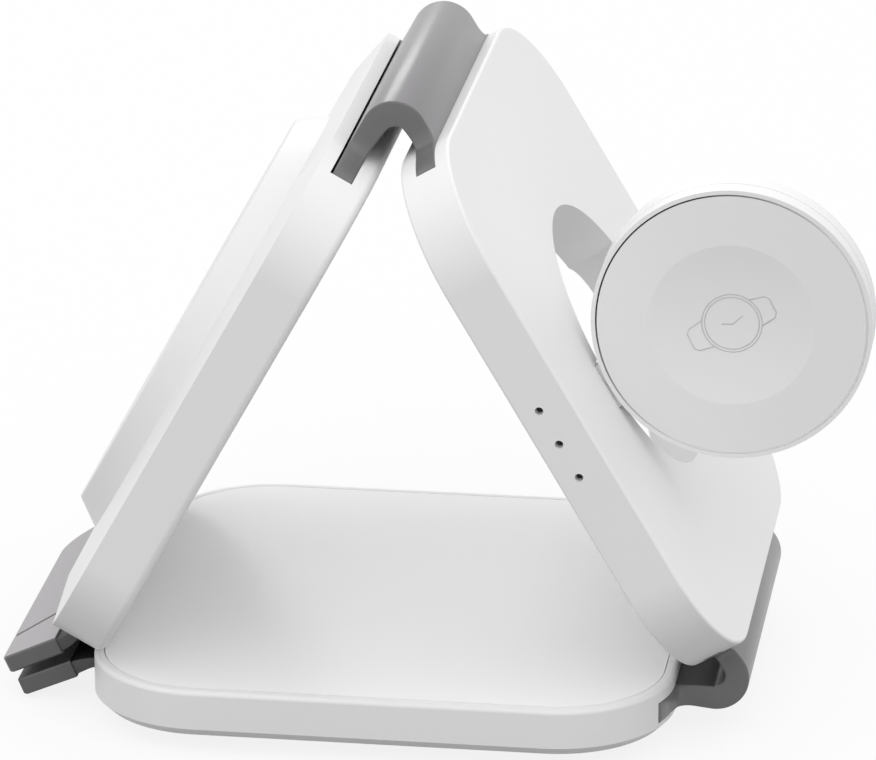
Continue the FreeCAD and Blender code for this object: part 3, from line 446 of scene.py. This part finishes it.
class Triangle:
    """The triangle of the panels' slot lines, in millimetres in the XZ plane."""

    def __init__(self):
        s = sizes()
        length = s.panel_length
        base_side = s.clasp_reach_base + length + s.side_reach_base
        watch_side = s.side_reach_watch + length + s.top_reach_watch
        phone_side = s.top_reach_phone + length + s.clasp_reach_phone
        slope = self.corner_angle(base_side, phone_side, watch_side)
        turn = slope + self.corner_angle(base_side, watch_side, phone_side)
        height = s.foot_height + s.base_thickness - s.base_level
        self.right = np.array((length / 2 + s.side_reach_base, height))
        self.left = np.array((-length / 2 - s.clasp_reach_base, height))
        peak = self.left + phone_side * np.array((math.cos(slope), math.sin(slope)))
        self.to_base = np.array((-1.0, 0.0))
        self.to_phone = (self.left - peak) / phone_side
        self.to_watch = (self.right - peak) / watch_side
        rise = (s.watch_top_level - s.watch_level) / math.sin(turn)
        self.top = peak - self.to_phone * rise
        self.top_reaches = (s.top_reach_watch - rise * math.cos(turn), s.top_reach_phone + rise)
        self.side_reaches = (s.side_reach_base, s.side_reach_watch)
        self.base_end = self.left - self.to_base * s.clasp_reach_base
        self.phone_end = self.left - self.to_phone * s.clasp_reach_phone

    @staticmethod
    def corner_angle(first, second, opposite):
        """Angle between two sides of a triangle, from the three lengths."""
        return math.acos((first ** 2 + second ** 2 - opposite ** 2) / (2 * first * second))


def strap_path(corner, first, second, reaches):
    """Middle line of a strap: straight from one tongue's end, round an arc, straight to the other.

    Points are even steps of length on each stretch. Returns the points, the unit normals on the
    outer side, and each point's distance along the strap from the nearer panel's end, negative
    inside the panel.
    """
    s = sizes()
    half = math.acos(float(first @ second)) / 2
    inward = (first + second) / np.linalg.norm(first + second)
    centre = corner + inward * s.bend_radius / math.sin(half)
    tangent = s.bend_radius / math.tan(half)
    legs = []
    for direction, reach in ((first, reaches[0]), (second, reaches[1])):
        tongue = np.linspace(reach + s.tongue_depth, reach, TONGUE_STEPS + 1)[:-1]
        free = np.linspace(reach, tangent, FREE_STEPS + 1)[:-1]
        along = np.concatenate((tongue, free))
        normal = corner + direction * tangent - centre
        normals = np.tile(normal / np.linalg.norm(normal), (len(along), 1))
        legs.append((corner + along[:, None] * direction, normals, reach - along))
    angles = np.linspace(0.0, 1.0, ARC_STEPS + 1)[:, None]
    start, end = legs[0][1][0], legs[1][1][0]
    turn = math.acos(float(start @ end))
    bend = (np.sin((1 - angles) * turn) * start + np.sin(angles * turn) * end) / math.sin(turn)
    arc = centre + s.bend_radius * bend
    walk = s.bend_radius * turn * angles[:, 0]
    clear = np.minimum(reaches[0] + walk, reaches[1] + walk[::-1]) - tangent
    points = np.concatenate((legs[0][0], arc, legs[1][0][::-1]))
    normals = np.concatenate((legs[0][1], bend, legs[1][1][::-1]))
    outside = np.concatenate((legs[0][2], clear, legs[1][2][::-1]))
    return points, normals, outside


def strap_half_width(outside):
    """Half width of a strap: a hollow root outside the panel, the panel's round outline in a slot.

    At a distance o outside the panel the root adds r - sqrt(r^2 - (r - o)^2) to the strap. At a
    depth d inside the outline is W/2 - R + sqrt(R^2 - (R - d)^2) from the middle, up to the
    tongue's width.
    """
    s = sizes()
    depth = np.clip(-outside, 0.0, s.corner_radius)
    radius = s.corner_radius
    outline = s.panel_width / 2 - radius + np.sqrt(radius ** 2 - (radius - depth) ** 2)
    root = s.root_radius
    beyond = np.clip(root - outside, 0.0, root)
    hollow = s.strap_width / 2 + root - np.sqrt(root ** 2 - beyond ** 2)
    return np.minimum(np.maximum(hollow, np.where(outside < 0, outline, 0.0)), s.tongue_width / 2)


def neck_path(panel_end, outward, plate_end, onward):
    """Middle line of a clasp tab's neck: straight out of its slot, then bent into the plate's line.

    The bend is (2t^3 - 3t^2 + 1) p + (t^3 - 2t^2 + t) d u + (3t^2 - 2t^3) q + (t^3 - t^2) d v
    between the two ends p and q, d apart, with the directions u and v. Returns points, unit
    normals and the bend's t.
    """
    s = sizes()
    inside = np.linspace(-s.tongue_depth, 0.0, SLOT_STEPS + 1)[:-1, None]
    slot = panel_end + inside * outward
    t = np.linspace(0.0, 1.0, NECK_STEPS + 1)[:, None]
    gap = np.linalg.norm(plate_end - panel_end)
    bend = (2 * t ** 3 - 3 * t ** 2 + 1) * panel_end + (t ** 3 - 2 * t ** 2 + t) * gap * outward
    bend = bend + (3 * t ** 2 - 2 * t ** 3) * plate_end + (t ** 3 - t ** 2) * gap * onward
    lap = plate_end + np.linspace(0.0, s.neck_lap, LAP_STEPS + 1)[1:, None] * onward
    points = np.concatenate((slot, bend, lap))
    step = np.gradient(points, axis=0)
    step = step / np.linalg.norm(step, axis=1)[:, None]
    normals = np.stack((step[:, 1], -step[:, 0]), axis=-1)
    share = np.concatenate((np.zeros(len(slot)), t[:, 0], np.ones(len(lap))))
    return points, normals, share


def clasp_ends(triangle):
    """Inner ends and directions of the tab plates, as the solids have them: lower, then upper."""
    s = sizes()

    def axes(droop):
        angle = math.radians(droop)
        onward = np.array((-math.cos(angle), -math.sin(angle)))
        upward = np.array((-math.sin(angle), math.cos(angle)))
        return onward, upward

    lower_on, lower_up = axes(s.lower_tab_droop)
    upper_on, upper_up = axes(s.upper_tab_droop)
    lower = triangle.base_end + np.array((-s.lower_tab_neck, -s.lower_tab_sink))
    tip = lower + lower_on * s.tab_length + lower_up * s.tab_thickness / 2
    upper = tip + upper_on * (s.tab_overhang - s.tab_length)
    upper = upper + upper_up * (s.tab_gap + s.tab_thickness / 2)
    return (lower, lower_on), (upper, upper_on)


def band_section(edge):
    """A rectangle from -1 to 1 both ways, as a loop of points round its four round corners.

    Returns the two signs of each point's corner, and its offset from that sharp corner for a
    rounding of edge.
    """
    quarter = np.linspace(0.0, math.pi / 2, CORNER_POINTS)
    turns = np.concatenate([quarter + i * math.pi / 2 for i in range(4)])
    signs = np.repeat(np.array(((1, 1), (-1, 1), (-1, -1), (1, -1))), CORNER_POINTS, axis=0)
    offset = edge * (np.stack((np.cos(turns), np.sin(turns)), axis=-1) - signs)
    return signs, offset


def smooth_step(share):
    """3t^2 - 2t^3: from 0 to 1 with level ends."""
    return share ** 2 * (3 - 2 * share)


def band_surface(points, normals, half_width, thickness, edge):
    """A band carried along a path in the XZ plane: its section is a round-cornered rectangle.

    A point of the section lies across the path by sign times the half width plus the corner's
    offset, and along the normal by sign times half the thickness plus the corner's offset.
    """
    signs, offset = band_section(edge)
    across = signs[None, :, 0] * half_width[:, None] + offset[None, :, 0]
    through = signs[None, :, 1] * thickness[:, None] / 2 + offset[None, :, 1]
    x = points[:, None, 0] + through * normals[:, None, 0]
    z = points[:, None, 1] + through * normals[:, None, 1]
    surface = np.stack((x, np.broadcast_to(across, x.shape), z), axis=-1)
    return surface.reshape(-1, 3) * MM, tube_faces(len(points), len(signs))


def ribbon(path, width, height, closed):
    """A flat raised line along a path in the dial's plane, with half the width on each side.

    The path's points are (x, z) from the dial's axis. The side direction is the tangent turned by
    a quarter turn. The dish behind a point at a distance r from the axis is
    D - (R - sqrt(R^2 - r^2)) deep, with R = (a^2 + D^2) / 2D. Returns points (x, depth, z) and
    faces.
    """
    s = sizes()
    around = np.concatenate((path[-1:], path, path[:1])) if closed else path
    step = np.gradient(around, axis=0)
    step = step[1:-1] if closed else step
    step = step / np.linalg.norm(step, axis=1)[:, None]
    side = np.stack((step[:, 1], -step[:, 0]), axis=-1) * width / 2
    ball = (s.dish_radius ** 2 + s.dish_depth ** 2) / (2 * s.dish_depth)
    corners = np.stack((path + side, path - side, path - side, path + side), axis=1)
    depth = s.dish_depth - ball + np.sqrt(ball ** 2 - (corners ** 2).sum(axis=-1))
    depth = depth + np.array((-height, -height, height, height))
    points = np.stack((corners[..., 0], depth, corners[..., 1]), axis=-1).reshape(-1, 3)
    faces = ring_faces if closed else tube_faces
    return points, faces(len(path), corners.shape[1])


def seam_ring(radius, width, front, back):
    """A ring about the dial's axis: width across, and from front to back behind the face.

    A section's corner lies at (radius +- width / 2) times (cos a, sin a), for even steps of the
    angle a.
    """
    angle = np.linspace(0.0, 2 * math.pi, RING_STEPS + 1)[:-1, None]
    reach = radius + width / 2 * np.array((1, -1, -1, 1))[None, :]
    x, z = reach * np.cos(angle), reach * np.sin(angle)
    depth = np.broadcast_to(np.array((front, front, back, back)), x.shape)
    points = np.stack((x, depth, z), axis=-1)
    return points.reshape(-1, 3), ring_faces(*x.shape)


def watch_sign():
    """Lines of a plain watch: two rings for the case, a band at each end and two hands, tilted.

    The case is a circle; a band is an open line of straight sides with its outer corners cut off.
    """
    s = sizes()
    turn = np.linspace(0.0, 2 * math.pi, CASE_STEPS + 1)[:-1, None]
    circle = np.concatenate((np.cos(turn), np.sin(turn)), axis=1)
    band, hands = np.array(SIGN_BAND), np.array(SIGN_HANDS)
    rings = [(s.case_radius * circle, True), (s.case_inner_radius * circle, True)]
    lines = [*rings, (band, False), (-band, False), (hands, False)]
    tilt = math.radians(s.sign_tilt)
    spin = np.array(((math.cos(tilt), math.sin(tilt)), (-math.sin(tilt), math.cos(tilt))))
    return [(line @ spin, closed) for line, closed in lines]


class CHARGER_OT_panels(bpy.types.Operator):
    """Finish the white panels."""

    bl_idname = "charger.panels"
    bl_label = "Panels"

    def execute(self, context):
        settings = finish()
        dress(WHITE_NODES, plastic("white_plastic", settings.white, settings.plastic_roughness))
        # The base cover's lighter white is painted light
        dress(("base_cover",), plastic("cover_plastic", settings.cover, settings.plastic_roughness))
        dress(("phone_pad",), plastic("pad_plastic", settings.pad, settings.plastic_roughness))
        return {"FINISHED"}


class CHARGER_OT_dial(bpy.types.Operator):
    """Finish the dial and its face, fill its seam and print the watch sign in the dish."""

    bl_idname = "charger.dial"
    bl_label = "Dial"

    def execute(self, context):
        settings = finish()
        s = sizes()
        low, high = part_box("dial_face")
        centre = (low + high) / 2
        roughness = settings.plastic_roughness
        dress(("dial_housing",), plastic("rim_plastic", settings.white, roughness))
        dress(("dial_face",), plastic("face_plastic", settings.face, roughness), DISH_CREASE)
        front = np.array((centre.x, low.y, centre.z))
        middle = s.dial_radius - s.dial_rim_wall - s.dial_seam_gap / 2
        # The seam filler is white with painted shade towards its upper left
        filler = plastic("seam_filler", settings.seam, roughness, (centre, middle * MM))
        width = s.dial_seam_gap - s.filler_play
        points, faces = seam_ring(middle, width, s.filler_front, s.filler_back)
        gasket = new_piece("dial_seam_ring", points * MM + front, faces, filler)
        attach(gasket, "watch_dial")
        points = []
        faces = []
        for path, closed in watch_sign():
            more, loops = ribbon(path, s.line_width, s.line_height, closed)
            start = sum(len(item) for item in points)
            faces += [[index + start for index in loop] for loop in loops]
            points.append(more)
        ink = plastic("printed_line", settings.line, roughness)
        sign = new_piece("watch_sign", np.concatenate(points) * MM + front, faces, ink)
        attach(sign, "watch_dial")
        return {"FINISHED"}


class CHARGER_OT_straps(bpy.types.Operator):
    """Make the straps and clasp tabs' necks, and finish the tabs."""

    bl_idname = "charger.straps"
    bl_label = "Straps and clasp"

    def execute(self, context):
        settings = finish()
        s = sizes()
        width = s.strap_width
        edge = settings.tab_edge
        strap_grey = self.rubber("grey_silicone", settings.grey, settings.strap_edge, width)
        # Painted shade on the straps' inner side, matt
        lining = self.rubber("strap_lining", settings.lining, settings.strap_edge, width, MATT)
        # The upper tab's lighter grey is painted light on its top
        dress(("upper_tab",), self.rubber("tab_silicone", settings.grey_tab, edge, width))
        # Painted shade: the lower tab and the necks are near black and dull for the shade between
        # the tabs; the lower tab's edges are lighter to make up for the dull gloss
        lower_edge = shade(edge, 1.3)
        tab_shade_rubber = self.rubber("dark_tab_silicone", settings.grey_dark, lower_edge, width, DULL)
        dress(("lower_tab",), tab_shade_rubber)
        neck_width = width - 2 * s.neck_inset
        neck_shade_rubber = self.rubber("neck_silicone", settings.grey_dark, edge, neck_width, DULL)
        t = Triangle()
        straps = (
            ("top_strap", t.top, (t.to_watch, t.to_phone), t.top_reaches, s.top_swell,
             ("watch_panel", "phone_panel")),
            ("side_strap", t.right, (t.to_base, -t.to_watch), t.side_reaches, s.side_swell,
             ("base", "watch_panel")),
        )
        for node, corner, (first, second), reaches, most, bodies in straps:
            points, normals, outside = strap_path(corner, first, second, reaches)
            swell = most * smooth_step(np.clip(outside / outside.max(), 0.0, 1.0))
            points = points + normals * swell[:, None] / 2
            thickness = s.strap_thickness + np.abs(swell)
            half_width = strap_half_width(outside)
            surface, faces = band_surface(points, normals, half_width, thickness, s.strap_edge)
            ends = (corner + first * reaches[0], corner + second * reaches[1])
            strap = self.add_band(node, surface, faces, strap_grey, bodies, ends)
            self.paint_inside_shade(strap, lining)
        lower, upper = clasp_ends(t)
        necks = (
            ("lower_tab_neck", t.base_end, t.to_base, lower, ("base", "lower_clasp_tab")),
            ("upper_tab_neck", t.phone_end, t.to_phone, upper, ("phone_panel", "upper_clasp_tab")),
        )
        for node, start, outward, (end, onward), bodies in necks:
            points, normals, share = neck_path(start, outward, end, onward)
            swell = s.tab_thickness - 2 * s.strap_edge - s.neck_thickness
            thickness = s.neck_thickness + swell * smooth_step(share)
            half_width = np.full(len(points), neck_width / 2)
            surface, faces = band_surface(points, normals, half_width, thickness, s.strap_edge)
            self.add_band(node, surface, faces, neck_shade_rubber, bodies, (start, end))
        return {"FINISHED"}

    @staticmethod
    def rubber(name, colour, edge_colour, width, gloss_level=SILKY):
        """Silicone for a piece of one width, with its cut edges."""
        roughness = finish().silicone_roughness
        return silicone(name, colour, edge_colour, roughness, width / 2 * MM, gloss_level)

    @staticmethod
    def add_band(node, surface, faces, material, bodies, ends):
        """A band that stands for a CAD node, which it hides."""
        piece = new_piece(f"{node}_band", surface, faces, material)
        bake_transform(piece)
        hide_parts(node)
        return piece

    @staticmethod
    def paint_inside_shade(strap, material):
        """Painted shade on a strap's inner side, the flat after its third section corner, not its
        ends.
        """
        strap.data.materials.append(material)
        column = np.arange(len(strap.data.polygons)) % SECTION_POINTS
        inner = np.where(column == 3 * CORNER_POINTS - 1, 1, 0).astype(np.int32)
        inner[-2:] = 0
        strap.data.polygons.foreach_set("material_index", inner)


class CHARGER_OT_insides(bpy.types.Operator):
    """Finish the inlet, the foot, the hinge pin, the magnets and the electronics."""

    bl_idname = "charger.insides"
    bl_label = "Inlet, foot and insides"

    def execute(self, context):
        magnets = ("phone_magnet_ring", "dial_magnet", "upper_tab_magnet", "lower_tab_magnet")
        shields = ("base_shield", "dial_shield", "phone_shield")
        boards = ("base_board", "watch_panel_board", "phone_panel_board")
        finishes = (
            (("inlet_socket", "dial_hinge_pin"), metal, "drawn_steel", (0.56, 0.56, 0.58), 0.32),
            (magnets, metal, "nickel_plate", (0.66, 0.64, 0.60), 0.22),
            (shields, plastic, "ferrite_sheet", (0.05, 0.05, 0.055), 0.7),
            (boards, plastic, "board_lacquer", (0.03, 0.16, 0.08), 0.35),
            (("light_guides",), plastic, "smoked_guide", (0.012, 0.012, 0.014), 0.25),
            (("foot_pad",), plastic, "foot_silicone", (0.46, 0.46, 0.47), 0.7),
        )
        for nodes, finished, name, colour, roughness in finishes:
            dress(nodes, finished(name, colour, roughness))
        slope = math.atan2(*Triangle().to_phone)
        turns = {
            "base_coil": (0, 0, 0),
            "dial_coil": (math.pi / 2, 0, 0),
            "phone_coil": (0, slope, 0),
        }
        for node, turn in turns.items():
            low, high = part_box(node)
            dress((node,), copper_winding(f"{node}_winding", (low + high) / 2, turn))
        return {"FINISHED"}


class CHARGER_OT_stage(bpy.types.Operator):
    """Set up the pale floor, the soft light and the camera."""

    bl_idname = "charger.stage"
    bl_label = "Stage"

    def execute(self, context):
        settings = context.scene.charger_stage
        context.scene.view_settings.view_transform = "Standard"
        self.make_world(settings)
        self.make_floor()
        for name, (place, size) in LAMPS.items():
            self.make_lamp(name, getattr(settings, f"{name}_power"), Vector(place), size)
        self.make_camera(settings)
        return {"FINISHED"}

    @staticmethod
    def background_mask(tree):
        """1 for rays from the camera, off gloss or through glass, which see a white background."""
        path = tree.nodes.new("ShaderNodeLightPath")
        total = path.outputs["Is Camera Ray"]
        for name in ("Is Glossy Ray", "Is Transmission Ray"):
            more = tree.nodes.new("ShaderNodeMath")
            more.operation = "MAXIMUM"
            tree.links.new(total, more.inputs[0])
            tree.links.new(path.outputs[name], more.inputs[1])
            total = more.outputs["Value"]
        return total

    def make_world(self, settings):
        """Even light all round, and plain white where it is seen."""
        world = bpy.data.worlds.new("studio")
        world.use_nodes = True
        tree = world.node_tree
        light = tree.nodes["Background"]
        light.inputs["Color"].default_value = FULL_WHITE
        light.inputs["Strength"].default_value = settings.sky
        seen = tree.nodes.new("ShaderNodeBackground")
        seen.inputs["Color"].default_value = FULL_WHITE
        mix = tree.nodes.new("ShaderNodeMixShader")
        tree.links.new(self.background_mask(tree), mix.inputs["Fac"])
        tree.links.new(light.outputs["Background"], mix.inputs[1])
        tree.links.new(seen.outputs["Background"], mix.inputs[2])
        tree.links.new(mix.outputs["Shader"], tree.nodes["World Output"].inputs["Surface"])
        bpy.context.scene.world = world

    def make_floor(self):
        """A wide pale floor that shows almost white and keeps a faint shadow."""
        points = FLOOR_EDGE * np.array(((-1, -1, 0), (1, -1, 0), (1, 1, 0), (-1, 1, 0)))
        material = bpy.data.materials.new("studio_floor")
        material.use_nodes = True
        tree = material.node_tree
        surface = tree.nodes["Principled BSDF"]
        surface.inputs["Base Color"].default_value = FLOOR_LIT
        surface.inputs["Roughness"].default_value = 0.9
        pale = tree.nodes.new("ShaderNodeBsdfDiffuse")
        pale.inputs["Color"].default_value = FLOOR_SEEN
        glow = tree.nodes.new("ShaderNodeEmission")
        seen = tree.nodes.new("ShaderNodeMixShader")
        seen.inputs["Fac"].default_value = FLOOR_GLOW
        tree.links.new(pale.outputs["BSDF"], seen.inputs[1])
        tree.links.new(glow.outputs["Emission"], seen.inputs[2])
        mix = tree.nodes.new("ShaderNodeMixShader")
        tree.links.new(self.background_mask(tree), mix.inputs["Fac"])
        tree.links.new(surface.outputs["BSDF"], mix.inputs[1])
        tree.links.new(seen.outputs["Shader"], mix.inputs[2])
        tree.links.new(mix.outputs["Shader"], tree.nodes["Material Output"].inputs["Surface"])
        floor = new_piece("studio_floor", points, [[0, 1, 2, 3]], material)

    @staticmethod
    def make_lamp(name, power, place, size):
        """A square soft box that faces the object's middle."""
        lamp = bpy.data.lights.new(name, "AREA")
        lamp.energy = power
        lamp.size = size
        holder = bpy.data.objects.new(name, lamp)
        holder.location = place
        holder.rotation_euler = (LAMP_TARGET - place).to_track_quat("-Z", "Y").to_euler()
        bpy.context.scene.collection.objects.link(holder)

    @staticmethod
    def make_camera(settings):
        """The camera of the photograph: its place, two angles and a slight roll."""
        a, e, r = (math.radians(x) for x in (settings.azimuth, settings.elevation, settings.roll))
        ahead = Vector((-math.sin(a) * math.cos(e), math.cos(a) * math.cos(e), -math.sin(e)))
        level = Vector((math.cos(a), math.sin(a), 0.0))
        down = ahead.cross(level)
        right = level * math.cos(r) + down * math.sin(r)
        up = level * math.sin(r) - down * math.cos(r)
        lens = bpy.data.cameras.new("camera")
        lens.lens = settings.lens
        lens.sensor_width = 36.0
        lens.clip_start = 0.01
        lens.clip_end = 20.0
        camera = bpy.data.objects.new("camera", lens)
        turn = Matrix((right, up, -ahead)).transposed().to_4x4()
        camera.matrix_world = Matrix.Translation(Vector(settings.eye) * MM) @ turn
        bpy.context.scene.collection.objects.link(camera)
        bpy.context.scene.camera = camera


class CHARGER_PT_panel(bpy.types.Panel):
    """The charger's pieces in the sidebar."""

    bl_idname = "CHARGER_PT_panel"
    bl_label = "Charger"
    bl_space_type = "VIEW_3D"
    bl_region_type = "UI"
    bl_category = "Charger"

    def draw(self, context):
        for operator in OPERATORS:
            self.layout.operator(operator.bl_idname)


OPERATORS = (
    CHARGER_OT_panels, CHARGER_OT_dial, CHARGER_OT_straps, CHARGER_OT_insides, CHARGER_OT_stage,
)
SETTINGS = {
    "charger_sizes": ChargerSizes,
    "charger_finish": ChargerFinish,
    "charger_stage": ChargerStage,
}
CLASSES = (*SETTINGS.values(), *OPERATORS, CHARGER_PT_panel)


def register():
    """Add the settings, operators and panel."""
    for item in CLASSES:
        bpy.utils.register_class(item)
    for name, group in SETTINGS.items():
        setattr(bpy.types.Scene, name, bpy.props.PointerProperty(type=group))


def unregister():
    """Remove what register added."""
    for name in SETTINGS:
        delattr(bpy.types.Scene, name)
    for item in reversed(CLASSES):
        bpy.utils.unregister_class(item)


def main():
    """Finish and build every piece and set up the stage."""
    register()
    bpy.ops.charger.panels()
    bpy.ops.charger.dial()
    bpy.ops.charger.straps()
    bpy.ops.charger.insides()
    bpy.ops.charger.stage()


if __name__ == "__main__":
    main()
